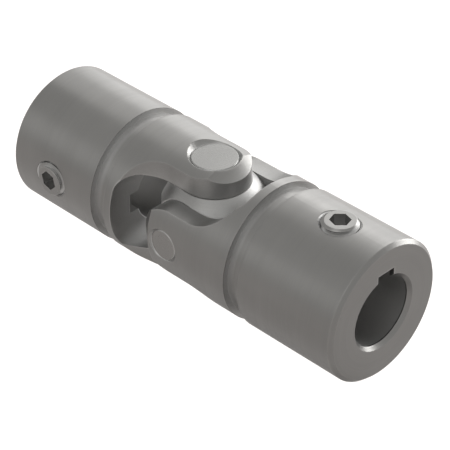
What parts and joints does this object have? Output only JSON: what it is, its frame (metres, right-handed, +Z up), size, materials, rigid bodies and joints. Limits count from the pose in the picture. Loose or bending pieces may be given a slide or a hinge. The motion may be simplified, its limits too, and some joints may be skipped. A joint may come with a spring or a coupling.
{
  "type": "universal joint",
  "caption": "Single pin-and-block universal joint with keyed bores and set screws, linking two shafts at an angle.",
  "frame": {"origin": "where the axes of the large pin and the small pin cross, in the middle of the centre block", "axes": "+X along the shafts towards the near yoke, Z along the large pin with +Z up, Y along the small pin"},
  "size_m": [0.0952, 0.0324, 0.0324],
  "materials": {
    "far_yoke": "satin, turned",
    "near_yoke": "satin, turned",
    "center_block": "satin, turned",
    "large_pin": "ground",
    "small_pin": "ground",
    "far_set_screw": "satin",
    "near_set_screw": "satin"
  },
  "bodies": {
    "far_yoke": {"far_yoke": "far_yoke"},
    "cross": {"center_block": "center_block", "large_pin": "large_pin"},
    "near_yoke": {"near_yoke": "near_yoke", "small_pin": "small_pin"},
    "far_set_screw": {"far_set_screw": "far_set_screw"},
    "near_set_screw": {"near_set_screw": "near_set_screw"}
  },
  "joints": [
    {"name": "large_pin_hinge", "type": "hinge", "parent": "far_yoke", "child": "cross", "pos_m": [0, 0, 0], "axis": [0, 0, 1], "range_deg": [-34, 34]},
    {"name": "small_pin_hinge", "type": "hinge", "parent": "cross", "child": "near_yoke", "pos_m": [0, 0, 0], "axis": [0, 1, 0], "range_deg": [-34, 34]},
    {"name": "far_set_screw_travel", "type": "slide", "parent": "far_yoke", "child": "far_set_screw", "axis": [0, -1, 0], "range_m": [-0.002, 0.003]},
    {"name": "near_set_screw_travel", "type": "slide", "parent": "near_yoke", "child": "near_set_screw", "axis": [0, 0, 1], "range_m": [-0.002, 0.003]}
  ]
}
